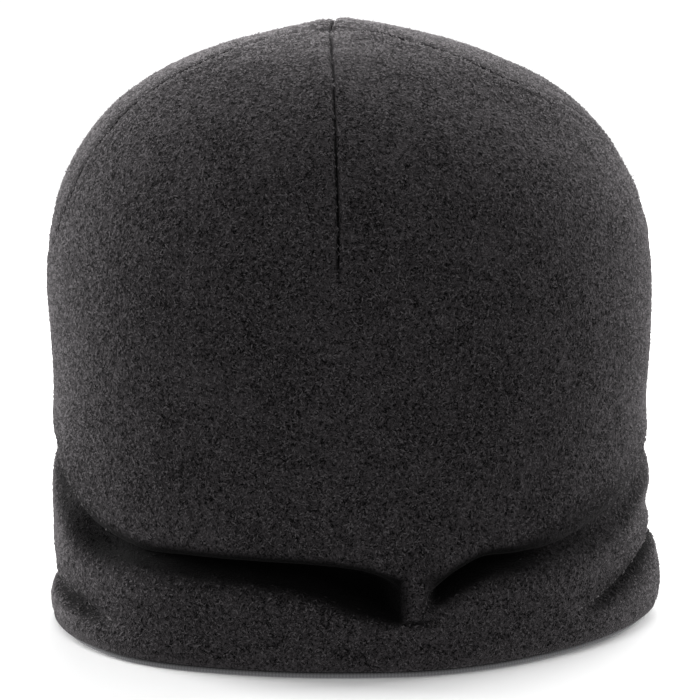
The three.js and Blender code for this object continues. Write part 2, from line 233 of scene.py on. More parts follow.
# Each fold, by azimuth: the level of the crest it starts at, the level of the lip that hangs over
# it, and how deep the cloth is tucked in between. Nothing is tucked in at the front fold's point.
FOLD = [("azimuth", float), ("crest", float), ("lip", float), ("tuck", float)]
FRONT_FOLD = np.array(
    [
        (-112, 56, 66, 0),
        (-90, 47, 60, 2.5),
        (-70, 36.5, 50, 5.5),
        (-57, 29, 37.5, 7.5),
        (-42, 28.5, 32, 8.5),
        (-29, 27.5, 31.5, 12),
        (-9, 25, 31, 15),
        (2, 18.5, 29, 15),
        (7, 16.5, 26.5, 13),
        (8.8, 16.5, 25.8, 3),
        (10.5, 17, 25, 0),
        (13, 19, 24.5, 0),
        (14.5, 20.5, 24.5, 3),
        (17, 22.5, 26.5, 8),
        (19, 24, 28.5, 9),
        (25, 28, 32, 10),
        (32, 29.5, 32.5, 8),
        (42, 30.5, 34.5, 5),
        (57, 33, 41, 3.5),
        (77, 42, 52, 3),
        (92, 48, 59, 2),
        (112, 56, 66, 0),
    ],
    dtype=FOLD,
)
BACK_FOLD = np.array(
    [
        (44, 9.5, 12, 0),
        (57, 12.5, 16, 3.5),
        (68, 18, 22, 6),
        (80, 23.5, 28, 8),
        (92, 26, 31, 8.5),
        (130, 27, 32, 9),
        (180, 25, 31, 11),
        (230, 19, 25, 9),
        (266, 12.5, 16.5, 6),
        (290, 11, 15, 6),
        (302, 9.5, 13.5, 5.5),
        (314, 8.5, 11, 0),
    ],
    dtype=FOLD,
)
# Broad dents in the wall. One with a depth below 0 is a swelling.
DENTS = np.array(
    [
        (13, 22, 13, 14, -2.2),
        (20, 82, 38, 7, 1),
        (22, 44, 20, 7, 0.9),
        (-66, 44, 8, 20, -1),
        (-95, 22, 32, 20, 2.3),
        (85, 10, 16, 9, -0.8),
        (205, 70, 40, 9, 1.2),
        (150, 52, 16, 16, 0.9),
        (-90, 72, 34, 18, 1.2),
        (90, 66, 34, 18, 1.1),
        (92, 35, 30, 6, 3),
        (-92, 19.5, 26, 3.5, 1.5),
    ],
    dtype=[("azimuth", float), ("level", float), ("across", float), ("tall", float), ("depth", float)],
)


def smooth(x):
    """Goes from 0 to 1 as x does, with soft ends."""
    t = np.clip(x, 0, 1)
    return t * t * (3 - 2 * t)


def bell(x):
    """1 at the middle, and close to 0 from 2 away."""
    return np.exp(-x * x)


def near(angle, middle):
    """Angles in degrees, brought within half a turn of another."""
    return angle - 360 * np.round((angle - middle) / 360)


def along(table, place, column, by="azimuth"):
    """A table's column at each place, on a smooth curve through its rows."""
    x, y = table[by], table[column]
    slopes = np.empty(len(x))
    slopes[1:-1] = (y[2:] - y[:-2]) / (x[2:] - x[:-2])
    slopes[0] = (y[1] - y[0]) / (x[1] - x[0])
    slopes[-1] = (y[-1] - y[-2]) / (x[-1] - x[-2])
    place = np.clip(place, x[0], x[-1])
    i = np.clip(np.searchsorted(x, place, side="right") - 1, 0, len(x) - 2)
    step = x[i + 1] - x[i]
    t = (place - x[i]) / step
    return (
        y[i] * (1 + 2 * t) * (1 - t) ** 2
        + y[i + 1] * t * t * (3 - 2 * t)
        + slopes[i] * step * t * (1 - t) ** 2
        - slopes[i + 1] * step * t * t * (1 - t)
    )


def fold_corners(fold, azimuth, middle):
    """A fold's four corners in the section at each azimuth, as (out, level)."""
    spot = near(azimuth, middle)
    crest, lip = along(fold, spot, "crest"), along(fold, spot, "lip")
    tuck = np.maximum(0, along(fold, spot, "tuck"))
    return [
        (BROW * tuck, crest),
        (-tuck, crest + (lip - crest) * TUCK_FLOOR),
        (-tuck, lip + OVERHANG * tuck),
        (BROW * tuck, lip),
    ]


def section_corners(azimuth):
    """The corners of the wall's section at each azimuth, with one mirrored past each end."""
    place = near(azimuth, 0)
    flare = along(RIM, place, "flare")
    lift = np.maximum(0, along(RIM, place, "lift"))
    front = fold_corners(FRONT_FOLD, azimuth, 0)
    hem_top = np.minimum(HEM, front[0][1] * HEM_UNDER_CREST)
    room = np.minimum(1, (front[0][1] - hem_top) / FULL_ROOM)
    back = [(out, hem_top + (level - HEM) * room) for out, level in fold_corners(BACK_FOLD, azimuth, 180)]
    lip = front[3][1]
    flat = np.zeros_like(azimuth)
    rim_level = RIM_RISE + lift
    under_fold = [
        (flat, rim_level),
        (flat + HEM_SWELL, np.minimum(hem_top, back[0][1] - HEM_UNDER_BACK)),
        *back,
        (flat + ROLL_SWELL, back[3][1] + (front[0][1] - back[3][1]) * ROLL_SHARE),
    ]
    # The rim's flare runs out evenly on the way up to the front crest
    way_up = [(level - rim_level) / (front[0][1] - rim_level) for _, level in under_fold]
    corners = [
        *[(out + flare * (1 - way), level) for (out, level), way in zip(under_fold, way_up)],
        *front,
        (flat, lip + LIP_HEIGHT),
        *[(flat, lip + (SHOULDER - lip) * share) for share in WALL_SHARES],
        (flat, flat + SHOULDER),
    ]
    table = np.array(corners).transpose(2, 0, 1)
    before = 2 * table[:, :1] - table[:, 1:2]
    after = 2 * table[:, -1:] - table[:, -2:-1]
    return np.concatenate([before, table, after], axis=1)


def wall_section(azimuth, climb):
    """How far out of the plain wall the cloth lies, and its level, at each azimuth and climb.
    A climb counts the section's corners from the rim."""
    corners = section_corners(azimuth)
    span = np.clip(np.floor(climb), 0, WALL_SPANS - 1).astype(int)
    t = np.clip(climb - span, 0, 1)
    shares = [(1 - t) ** 3, 3 * t**3 - 6 * t * t + 4, -3 * t**3 + 3 * t * t + 3 * t + 1, t**3]
    section = sum(share[None, :, None] * corners[:, span + k] for k, share in enumerate(shares)) / 6
    return section[..., 0], section[..., 1]


def dome_reach(climb):
    """How much of the shoulder's half width is left, a share of the way up the dome."""
    turn = np.radians(90) * np.clip(climb - WALL_SPANS, 0, 1)
    return np.maximum(0, np.cos(turn)) ** (2 / DOME_SQUARENESS)


def swing(azimuth, climb):
    """How many degrees forward a side dart runs, for every pair of the two lists."""
    is_left = near(azimuth, 0)[:, None] < 0
    left, right = [along(DART_PATH, climb - WALL_SPANS, side, "rise") for side in ("left", "right")]
    return SEAM_BOW * (1 - dome_reach(climb) ** 2) + np.where(is_left, left, right)


def cloth(azimuth, climb):
    """The cloth's outer face as (azimuths, climbs, xyz), for every pair of the two lists."""
    reach = dome_reach(climb)
    around = azimuth[:, None]
    angle = np.radians(around - swing(azimuth, climb) * np.sin(np.radians(around)))
    turned = np.radians(around - SEAM_TURN)
    power = 2 - GORE_FLATNESS * smooth((1 - reach) / GORE_ONSET)
    square = (np.abs(np.sin(turned)) ** power + np.abs(np.cos(turned)) ** power) ** (-1 / power)
    x = SEAMS_MEET_X * (1 - reach) + WIDTH / 2 * reach * square * np.sin(angle)
    y = SEAMS_MEET_Y * (1 - reach) - DEPTH / 2 * reach * square * np.cos(angle)
    share = np.hypot(2 * x / WIDTH, 2 * y / DEPTH) / square
    rise = np.maximum(0, 1 - share**DOME_SQUARENESS) ** (1 / DOME_SQUARENESS)
    dome_level = SHOULDER + (DOME_TOP - SHOULDER) * rise + PEAK_HEIGHT * bell(np.hypot(x, y) / PEAK_RADIUS)

    out, level = wall_section(azimuth, climb)
    for dent in DENTS:
        aside = np.radians(near(around - dent["azimuth"], 0)) * WIDTH / 2 / dent["across"]
        out = out - dent["depth"] * bell(aside) * bell((level - dent["level"]) / dent["tall"])
    in_dome = climb > WALL_SPANS
    x = x + np.where(in_dome, DOME_LEAN * smooth(rise), out * np.sin(angle)) + CENTRING_X
    y = y - np.where(in_dome, 0, out * np.cos(angle)) + CENTRING_Y
    return np.stack([x, y, np.where(in_dome, dome_level, level)], axis=-1)


def unit(vectors):
    """Vectors brought to a length of 1."""
    return vectors / np.maximum(1e-9, np.linalg.norm(vectors, axis=-1, keepdims=True))


def outward(azimuth, climb):
    """Unit vectors out of the cloth, level at the rim so that the cut edge is flat."""
    half_step, half_turn = 0.06, 0.5
    highest = WALL_SPANS + 0.985  # just short of the apex, where the columns meet
    level_up_to = 0.7
    high = np.minimum(highest, climb + half_step)
    low = np.maximum(0, np.minimum(climb, highest - half_step) - half_step)
    middle = (high + low) / 2
    across = cloth(azimuth + half_turn, middle) - cloth(azimuth - half_turn, middle)
    upwards = cloth(azimuth, high) - cloth(azimuth, low)
    normal = unit(np.cross(across, upwards))
    normal[..., 2] *= smooth(climb / level_up_to)
    return unit(normal)


def seams_at(azimuth, climb, level):
    """Distance from the nearest of the four seams, how far it is sewn there, and the dome's radius."""
    nearest = np.round((azimuth - SEAM_TURN) / 90)
    aside = np.radians(azimuth - SEAM_TURN - 90 * nearest)[:, None]
    radius = WIDTH / 2 * dome_reach(climb)
    bowed = 1 - np.radians(swing(azimuth, climb)) * np.cos(np.radians(azimuth))[:, None]
    is_back = (nearest % 4 == 2)[:, None]
    sewn = np.where(is_back, 1.0, smooth((level - DART_END) / DART_FADE + 0.5))
    return aside * radius * bowed, sewn, radius


def columns_round(beside, between):
    """Azimuths right round from the front seam, crowded beside each of the four seams."""
    crowded, crowding = 4.5, 1.5
    steps = np.arange(beside) / beside
    middle = np.linspace(crowded, 90 - crowded, between, endpoint=False)
    gore = np.concatenate([crowded * steps**crowding, middle, 90 - crowded * (1 - steps) ** crowding])
    return np.append((SEAM_TURN + 90 * np.arange(4)[:, None] + gore).ravel(), SEAM_TURN + 360)


def rows_up(per_span, in_dome):
    """Climbs from the rim to the apex, given the rows in each span of the section."""
    rows = [np.linspace(i, i + 1, count, endpoint=False) for i, count in enumerate(per_span)]
    return np.concatenate([*rows, np.linspace(WALL_SPANS, WALL_SPANS + 1, in_dome + 1)])


def wrapped_grid(name, points):
    """A grid with its vertices laid on points (across, up, xyz), and each vertex's place among them."""
    across, up = points.shape[:2]
    bpy.ops.mesh.primitive_grid_add(x_subdivisions=across - 1, y_subdivisions=up - 1, size=1)
    grid = bpy.context.object
    grid.name = name
    flat = np.empty(len(grid.data.vertices) * 3)
    grid.data.vertices.foreach_get("co", flat)
    flat = flat.reshape(-1, 3)
    column = np.rint((flat[:, 0] + 0.5) * (across - 1)).astype(int)
    row = np.rint((flat[:, 1] + 0.5) * (up - 1)).astype(int)
    grid.data.vertices.foreach_set("co", (points[column, row] * MM).ravel())
    grid.data.update()
    return grid, (column, row)


def joined(pieces):
    """Joins pieces into the last one and merges their doubles. Two pieces are bridged at their rims."""
    bpy.ops.object.select_all(action="DESELECT")
    for piece in pieces:
        piece.select_set(True)
    bpy.context.view_layer.objects.active = pieces[-1]
    if len(pieces) > 1:
        bpy.ops.object.join()
    bpy.ops.object.mode_set(mode="EDIT")
    bpy.ops.mesh.select_all(action="SELECT")
    bpy.ops.mesh.remove_doubles(threshold=0.01 * MM)
    if len(pieces) > 1:
        bpy.ops.mesh.select_all(action="DESELECT")
        bpy.ops.mesh.select_non_manifold(use_wire=False, use_multi_face=False, use_verts=False)
        bpy.ops.mesh.bridge_edge_loops()
    bpy.ops.object.mode_set(mode="OBJECT")
    bpy.ops.object.shade_smooth()
    return pieces[-1]


# The outer face: the seams sink between two soft swellings. Beside them the pile lies brushed flat, and
# their grooves get painted shade further on.
SEAM_DEPTH, SEAM_HALF_WIDTH, SIDE_DART_SHARE = 1.2, 0.48, 0.65
SEAM_PUFF, PUFF_AWAY, PUFF_HALF_WIDTH, PUFF_FROM_APEX = 0.7, 3.6, 2.8, 24
PINCH_DEPTH, PINCH_RADIUS = 1.9, 7.5
BY_SIDE_SEAM = 0.7  # above this sine of the turn from the front seam, a side dart is the nearest
ROWS_PER_SPAN = [8, 6, 10, 10, 10, 6, 8, 12, 12, 12, 10, 12, 12, 12]
azimuths = columns_round(beside=12, between=72)
climbs = rows_up(ROWS_PER_SPAN, in_dome=60)
face = cloth(azimuths, climbs)
face_normals = outward(azimuths, climbs)
seam_distance, sewn, radius = seams_at(azimuths, climbs, face[..., 2])
by_side = np.abs(np.sin(np.radians(azimuths - SEAM_TURN)))[:, None] > BY_SIDE_SEAM
sewn = sewn * np.where(by_side, SIDE_DART_SHARE, 1)
seam_line = sewn * bell(seam_distance / SEAM_HALF_WIDTH)
clear_of_apex = smooth(radius / PUFF_FROM_APEX)
sunk = SEAM_DEPTH * seam_line + PINCH_DEPTH * bell(radius / PINCH_RADIUS)
sunk = sunk - SEAM_PUFF * sewn * clear_of_apex * bell((np.abs(seam_distance) - PUFF_AWAY) / PUFF_HALF_WIDTH)

# The thin crease where the front fold's point rests on the roll
POINT_FROM, POINT_TO, POINT_FADE = 7.5, 15.5, 2
POINT_LEVEL, POINT_CREASE = 15.6, 1.4
on_point = smooth((azimuths - POINT_FROM) / POINT_FADE) * smooth((POINT_TO - azimuths) / POINT_FADE)
point_line = on_point[:, None] * bell(face[..., 2] - POINT_LEVEL) * (climbs < WALL_SPANS)
sunk = sunk + POINT_CREASE * point_line

# The hand of the cloth: soft waves all over, which die out at the rim, and small puckers across
# each seam. Each size of wave has its height and its length.
WAVES = [(0.6, 46.0), (0.3, 19.0), (0.12, 7.0)]
CALM_BELOW = 1.5
waves = np.zeros(sunk.shape)
for i, column_points in enumerate(face):
    for j, point in enumerate(column_points):
        spot = Vector(point)
        waves[i, j] = sum(height * noise.noise(spot / length) for height, length in WAVES)
waves[-1] = waves[0]
PUCKER_HEIGHT, PUCKER_LENGTH, PUCKER_REACH = 0.25, 9.0, 6.0
along_seam = face[..., 2] + np.hypot(face[..., 0], face[..., 1])
puckers = np.sin(along_seam * 2 * np.pi / PUCKER_LENGTH) * bell(seam_distance / PUCKER_REACH)
waves = waves + PUCKER_HEIGHT * sewn * clear_of_apex * puckers
plain_face = face
face = face + face_normals * (waves * smooth(climbs / CALM_BELOW) - sunk)[..., None]
face[:, -1] = face[:, -1].mean(axis=0)
crown, (column, row) = wrapped_grid("crown", face)

# Little light reaches into the folds, so their cloth gets painted shade. A deep fold's painted shade has a
# sharp upper edge, and a shallow one's shades off.
# The pile is matted, the painted shade comes in and a fold counts as deep each from one depth of its tuck
# to another, and the deepest tuck within BESIDE_FOLD degrees counts. The values after that are in climbs.
MATTED_TUCK, SHADED_TUCK, DEEP_TUCK = (0.9, 3.2), (0.6, 4.5), (4.5, 9)
SHALLOW_SHADE = 0.6
BESIDE_FOLD = 1.2
SHADE_BELOW_CREST, SHADE_UP_TO = 0.6, 3.05
SHALLOW_LIP_FADE, DEEP_LIP_SHARPER = 1.1, 0.7
MATTED_FROM, MATTED_OVER = 1.2, 0.8
MATTED_TO, UNMATTED_OVER = 3.3, 0.35
shaded = np.zeros(sunk.shape)
matted = np.zeros(sunk.shape)
for fold, middle, first_corner in [(BACK_FOLD, 180, 2), (FRONT_FOLD, 0, 7)]:
    turns = (-BESIDE_FOLD, 0, BESIDE_FOLD)
    deepest = np.max([along(fold, near(azimuths + turn, middle), "tuck") for turn in turns], axis=0)
    tuck = np.maximum(0, deepest)[:, None]
    creased, has_fold, deep = [
        smooth((tuck - low) / (high - low)) for low, high in (MATTED_TUCK, SHADED_TUCK, DEEP_TUCK)
    ]
    climb_in_fold = climbs - first_corner
    past_crest = smooth(climb_in_fold + SHADE_BELOW_CREST)
    lip_fade = SHALLOW_LIP_FADE - DEEP_LIP_SHARPER * deep
    under_lip = smooth((SHADE_UP_TO + lip_fade - climb_in_fold) / lip_fade)
    depth_of_shade = SHALLOW_SHADE + (1 - SHALLOW_SHADE) * deep
    shaded = np.maximum(shaded, has_fold * depth_of_shade * past_crest * under_lip)
    past_tuck_floor = smooth((climb_in_fold - MATTED_FROM) / MATTED_OVER)
    below_brow = smooth((MATTED_TO - climb_in_fold) / UNMATTED_OVER)
    matted = np.maximum(matted, creased * past_tuck_floor * below_brow)

# Painted shade also darkens the seam grooves, most of all low down, and the crease under the point
TOP_SEAM_SHADE, LIGHTEST_LEVEL, DARKER_BELOW = 0.35, 178, 45
POINT_SHADE = 0.8
low_down = smooth((LIGHTEST_LEVEL - face[..., 2]) / DARKER_BELOW)
seam_shade = TOP_SEAM_SHADE + (1 - TOP_SEAM_SHADE) * low_down
painted_shade = np.maximum.reduce([shaded, seam_line * seam_shade, POINT_SHADE * point_line])
crown.data.attributes.new("painted_shade", "FLOAT", "POINT").data.foreach_set("value", painted_shade[column, row])

# The inner face, with the two sewn edges of cloth standing up along each seam. Its columns and rows
# lie behind every second one of the outer face.
ALLOWANCE_HEIGHT, ALLOWANCE_HALF_WIDTH = 2.6, 3.2
behind = np.s_[::2, ::2]
ridge = (sewn * bell(seam_distance / ALLOWANCE_HALF_WIDTH) * smooth((face[..., 2] - 2 * HEM) / HEM))[behind]
inwards = WALL + ALLOWANCE_HEIGHT * ridge + PINCH_DEPTH * bell(radius[..., ::2] / PINCH_RADIUS)
inner_face = plain_face[behind] - face_normals[behind] * inwards[..., None]
inner_face[:, -1] = inner_face[:, -1].mean(axis=0)
inner_side, _ = wrapped_grid("crown_inner_side", inner_face[::-1])
crown = joined([inner_side, crown])

# Brushed polyester fleece: loops of yarn torn open into a short curly pile, with no gloss. Its
# clumps are coloured light at their tips and dark between, partly a tone of their own and partly painted
# shade between them, and its loose fibres glow along the edges. The fibres are drawn far coarser than they
# are, because real ones wouldn't show.
CLUMP = 0.7 * MM
FIBRE = 0.4 * MM
PATCH = 16 * MM
FIBRE_SHARE, PATCH_SHARE, LOCK_SHARE = 0.35, 0.12, 0.75
DARK_AT, LIGHT_AT = 0.39, 0.61
# The dark colour that painted shade turns the pile towards
UNLIT = "#030303"
FIBRE_GLOW = "#e0dbdd"


def brushed_fleece(name, dark, light, relief_height, sheen, lock_spread=0.0):
    """The pile's material. Its tone comes from clumps, finer fibres and faint patches, and is darkened by
    painted shade. Where locks have tones of their own, these spread so far to each side of the middle tone
    and count for more."""
    material, tree = new_material(name)
    place = add_node(tree, "ShaderNodeTexCoord").outputs["Object"]
    clumps = add_node(
        tree,
        "ShaderNodeTexNoise",
        values={"Scale": 1 / CLUMP, "Detail": 1.5, "Roughness": 0.6, "Distortion": 1.0},
        links={"Vector": place},
    )
    fibres = add_node(
        tree,
        "ShaderNodeTexNoise",
        values={"Scale": 1 / FIBRE, "Detail": 1.5, "Roughness": 0.6},
        links={"Vector": place},
    )
    patches = add_node(
        tree, "ShaderNodeTexNoise", values={"Scale": 1 / PATCH, "Detail": 2.0}, links={"Vector": place}
    )
    pile = add_node(
        tree,
        "ShaderNodeMix",
        {"data_type": "FLOAT"},
        {"Factor": FIBRE_SHARE},
        {"A": clumps.outputs["Fac"], "B": fibres.outputs["Fac"]},
    )
    tone = add_node(
        tree,
        "ShaderNodeMix",
        {"data_type": "FLOAT"},
        {"Factor": PATCH_SHARE},
        {"A": pile.outputs["Result"], "B": patches.outputs["Fac"]},
    )
    if lock_spread:
        each_lock = add_node(tree, "ShaderNodeAttribute", {"attribute_name": "lock_tone"})
        around_middle = add_node(
            tree,
            "ShaderNodeMapRange",
            values={"To Min": 0.5 - lock_spread, "To Max": 0.5 + lock_spread},
            links={"Value": each_lock.outputs["Fac"]},
        )
        tone = add_node(
            tree,
            "ShaderNodeMix",
            {"data_type": "FLOAT"},
            {"Factor": LOCK_SHARE},
            {"A": tone.outputs["Result"], "B": around_middle.outputs["Result"]},
        )
    colours = add_node(tree, "ShaderNodeValToRGB", links={"Fac": tone.outputs["Result"]})
    colours.color_ramp.elements[0].position = DARK_AT
    colours.color_ramp.elements[0].color = linear(dark)
    colours.color_ramp.elements[1].position = LIGHT_AT
    colours.color_ramp.elements[1].color = linear(light)
    # Painted shade, from the folds, the seam grooves and the crease under the point, darkens the colour
    # towards UNLIT
    in_shade = add_node(tree, "ShaderNodeAttribute", {"attribute_name": "painted_shade"})
    shade = add_node(
        tree,
        "ShaderNodeMix",
        {"data_type": "RGBA"},
        {"B": linear(UNLIT)},
        {"Factor": in_shade.outputs["Fac"], "A": colours.outputs["Color"]},
    )
    relief = add_node(
        tree,
        "ShaderNodeBump",
        values={"Strength": 1.0, "Distance": relief_height},
        links={"Height": pile.outputs["Result"]},
    )
    shader = add_node(
        tree,
        "ShaderNodeBsdfPrincipled",
        values={
            "Roughness": 1.0,
            "Specular IOR Level": 0.1,
            "Sheen Weight": sheen,
            "Sheen Roughness": 0.3,
            "Sheen Tint": linear(FIBRE_GLOW),
        },
        links={"Base Color": shade.outputs["Result"], "Normal": relief.outputs["Normal"]},
    )
    add_node(tree, "ShaderNodeOutputMaterial", links={"Surface": shader.outputs["BSDF"]})
    return material


# The pile on the cloth, in its dark and light colour and its relief. Where the painted shade is deeper, the
# cloth takes shaded copies of its material with less sheen, which keep the folds dark. Each step has the
# painted shade it begins at and its glow.
GROUND_PILE = ("#0b0a0b", "#4c494b", 0.8 * MM)
FOLD_STEPS = [(0.12, 0.22), (0.24, 0.13), (0.4, 0.03)]
crown.data.materials.clear()
crown.data.materials.append(brushed_fleece("brushed_polyester_fleece", *GROUND_PILE, sheen=0.3))
for step, (_, glow) in enumerate(FOLD_STEPS):
    crown.data.materials.append(brushed_fleece(f"brushed_fleece_painted_fold_shade_{step}", *GROUND_PILE, sheen=glow))
shade_of = np.empty(len(crown.data.vertices))
crown.data.attributes["painted_shade"].data.foreach_get("value", shade_of)
for polygon in crown.data.polygons:
    darkest = max(shade_of[i] for i in polygon.vertices)
    polygon.material_index = sum(darkest > begins for begins, _ in FOLD_STEPS)
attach(crown, "root")
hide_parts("crown")

# The raised pile: the fleece's curled locks of fibre, each a short spindle that lies on the cloth,
# with a few that stand up. There is one piece to each quarter of the cap, between two seams, along
# which the locks are brushed flat. A spread is how much one lock differs from the next.
LOCKS_PER_QUARTER = 31500
LOCK_LENGTH, LOCK_WIDTH, LOCK_RISE = 1.3, 0.42, 0.3
LENGTH_SPREAD, WIDTH_SPREAD, RISE_SPREAD, CURL_SPREAD = 0.25, 0.2, 0.3, 0.25
ROOT_DEPTH, BELLY_SHARE, TIP_SHARES = 0.15, 0.8, (-0.4, 1.1)
STRAY_SHARE, STRAY_LENGTH, STRAY_WIDTH, STRAY_RISE = 0.08, 1.9, 0.14, 2.6
CLEAR_OF_SEAM, SEAM_NAP, BRUSHED_FLAT = 0.5, 1.8, 0.8
CLEAR_OF_POINT, CLEAR_OF_RIM, THINNED_BY_SHADE = 0.5, 0.4, 0.8
NORMAL_OF_CLOTH = 0.88
BAKE_MARGIN = 0.06
FIRST_SEED = 41


def strands(name, spine, thickness, across, sides, normals=None):
    """Closed spindles, one to each row of spine points, with a ring round each inner point. The second
    direction across is the cross product of the spine's and the first. Each spindle has its own cell
    of the bake map. Normals, if given, lean the shading that way."""
    count, steps = spine.shape[:2]
    turns = 2 * np.pi * np.arange(sides) / sides
    first, second = across
    round_it = first[:, None] * np.cos(turns)[:, None] + second[:, None] * np.sin(turns)[:, None]
    rings = spine[:, 1:-1, None] + thickness[..., None, None] / 2 * round_it[:, None]
    corners = np.concatenate([spine[:, :1], rings.reshape(count, -1, 3), spine[:, -1:]], axis=1)
    tip = 1 + (steps - 2) * sides
    faces, places = [], []
    for i in range(sides):
        here, after, middle = i / sides, (i + 1) / sides, (i + 0.5) / sides
        j = (i + 1) % sides
        faces.append((0, 1 + j, 1 + i))
        places.append(((middle, 0), (after, 1), (here, 1)))
        for ring in range(steps - 3):
            low, high = 1 + ring * sides, 1 + (ring + 1) * sides
            faces += [(low + i, low + j, high + j), (low + i, high + j, high + i)]
            places.append(((here, ring + 1), (after, ring + 1), (after, ring + 2)))
            places.append(((here, ring + 1), (after, ring + 2), (here, ring + 2)))
        last = tip - sides
        faces.append((last + i, last + j, tip))
        places.append(((here, steps - 2), (after, steps - 2), (middle, steps - 1)))
    indices = np.array(faces)[None] + (tip + 1) * np.arange(count)[:, None, None]
    mesh = bpy.data.meshes.new(name)
    mesh.vertices.add(corners.shape[1] * count)
    mesh.vertices.foreach_set("co", (corners * MM).ravel())
    mesh.loops.add(indices.size)
    mesh.loops.foreach_set("vertex_index", indices.ravel())
    mesh.polygons.add(indices.size // 3)
    mesh.polygons.foreach_set("loop_start", np.arange(0, indices.size, 3))
    cells = math.ceil(math.sqrt(count))
    spot = np.array(places).reshape(-1, 2) / (1, steps - 1) * (1 - 2 * BAKE_MARGIN) + BAKE_MARGIN
    cell = np.stack(np.divmod(np.arange(count), cells), axis=1)
    bake_map = mesh.uv_layers.new(name="OFBake")
    bake_map.data.foreach_set("uv", ((cell[:, None] + spot) / cells).ravel())
    mesh.update(calc_edges=True)
    mesh.shade_smooth()
    if normals is not None:
        own = np.empty(corners.size)
        mesh.vertices.foreach_get("normal", own)
        leant = own.reshape(corners.shape) * (1 - NORMAL_OF_CLOTH) + normals[:, None] * NORMAL_OF_CLOTH
        mesh.normals_split_custom_set_from_vertices(unit(leant).reshape(-1, 3).tolist())
    piece = bpy.data.objects.new(name, mesh)
    bpy.context.collection.objects.link(piece)
    return piece


raised_pile = brushed_fleece(
    "raised_polyester_pile", "#0b0b0b", "#656264", 0.15 * MM, sheen=0.6, lock_spread=0.23
)
# The locks are dealt out by the area of cloth, fewer in the dark of the folds and none in a seam
quads = face[:-1, :-1], face[1:, :-1], face[1:, 1:], face[:-1, 1:]
quad_area = np.linalg.norm(np.cross(quads[2] - quads[0], quads[3] - quads[1]), axis=-1) / 2
up_cloth = unit(quads[3] - quads[0])
near_seam = sewn * bell(seam_distance / SEAM_NAP)
in_seam = sewn * (np.abs(seam_distance) < CLEAR_OF_SEAM)
bare = np.maximum.reduce([matted, in_seam, point_line > CLEAR_OF_POINT])
thinned = (1 - shaded[:-1, :-1]) ** THINNED_BY_SHADE
chance = quad_area * (1 - bare[:-1, :-1]) * thinned * (climbs[:-1] > CLEAR_OF_RIM)
quarter_of_column = ((azimuths[:-1] - SEAM_TURN) // 90).astype(int)
for quarter, quarter_name in enumerate(["front_right", "back_right", "back_left", "front_left"]):
    draw = np.random.default_rng(FIRST_SEED + quarter)
    shape = (LOCKS_PER_QUARTER, 1)
    weight = np.where((quarter_of_column == quarter)[:, None], chance, 0).ravel()
    picked = draw.choice(len(weight), LOCKS_PER_QUARTER, p=weight / weight.sum())
    i, j = np.divmod(picked, quad_area.shape[1])
    u, v = draw.random((2, *shape))
    lower = quads[0][i, j] * (1 - u) + quads[1][i, j] * u
    upper = quads[3][i, j] * (1 - u) + quads[2][i, j] * u
    root = lower * (1 - v) + upper * v
    out = unit(face_normals[i, j])
    brushed = near_seam[i, j][:, None]
    lie = unit(np.cross(out, draw.normal(size=(LOCKS_PER_QUARTER, 3))))
    lie = unit(lie * (1 - brushed) + up_cloth[i, j] * brushed)
    side = np.cross(lie, out)
    stray = draw.random(shape) < STRAY_SHARE
    length = np.where(stray, STRAY_LENGTH, LOCK_LENGTH) * draw.lognormal(0, LENGTH_SPREAD, shape)
    thick = np.where(stray, STRAY_WIDTH, LOCK_WIDTH) * draw.lognormal(0, WIDTH_SPREAD, shape)
    rise = LOCK_RISE * draw.lognormal(0, RISE_SPREAD, shape) * (1 - BRUSHED_FLAT * brushed)
    tip_rise = np.where(stray, rise * STRAY_RISE, rise * draw.uniform(*TIP_SHARES, shape))
    curl = draw.normal(0, CURL_SPREAD, shape) * length
    start = root - lie * length / 2 - out * ROOT_DEPTH
    belly = root + out * rise * BELLY_SHARE + side * curl
    end = root + lie * length / 2 + out * tip_rise
    spine = np.stack([start, belly, end], axis=1)
    pile = strands("pile_" + quarter_name, spine, thick, (out, side), sides=3, normals=out)
    vertices_each = len(pile.data.vertices) // LOCKS_PER_QUARTER
    # Each lock takes a random tone of its own, and the painted shade at its root
    for attribute, of_lock in [("lock_tone", draw.random(LOCKS_PER_QUARTER)), ("painted_shade", painted_shade[i, j])]:
        shades = pile.data.attributes.new(attribute, "FLOAT", "POINT").data
        shades.foreach_set("value", np.repeat(of_lock, vertices_each))
    pile.data.materials.append(raised_pile)
    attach(pile, "root")

# The facing: a strip of thin knitted jersey, sewn inside the rim and turned out under it, so that
# its folded edge shows as a light line below the fleece. It hides the raw edge from the head.
FACING_OUTSIDE, FACING_INSIDE, FACING_EDGE = 2.8, 4.4, 1.6
FACING_CLIMBS, FACING_TOP = [0.25, 0.5, 0.75, 0.97], 1.02

# The turned edge stops short of the fleece's outer face, by less at the front, where it shows
EDGE_FRONT, EDGE_ELSEWHERE = 0.3, 1.9
EDGE_AZIMUTH, EDGE_FROM, EDGE_OVER = 5.0, 32.0, 25.0
EDGE_ROUND = 0.75
past_front = smooth((np.abs(near(azimuths, EDGE_AZIMUTH)) - EDGE_FROM) / EDGE_OVER)
edge_inset = EDGE_FRONT + (EDGE_ELSEWHERE - EDGE_FRONT) * past_front
rim_lift = np.maximum(0, along(RIM, near(azimuths, 0), "lift"))
rim_points, rim_normals = cloth(azimuths, np.zeros(1))[:, 0], outward(azimuths, np.zeros(1))[:, 0]


def edge_row(inset, level):
    """A row of points near the turned edge, so far in from the outer cloth and so far up."""
    row = rim_points - rim_normals * (np.zeros(len(azimuths)) + inset)[:, None]
    row[:, 2] = level + rim_lift
    return row


def face_row(inset, climb):
    """A row of points on one of the facing's sides."""
    place = np.array([climb])
    return (cloth(azimuths, place) - outward(azimuths, place) * inset)[:, 0]


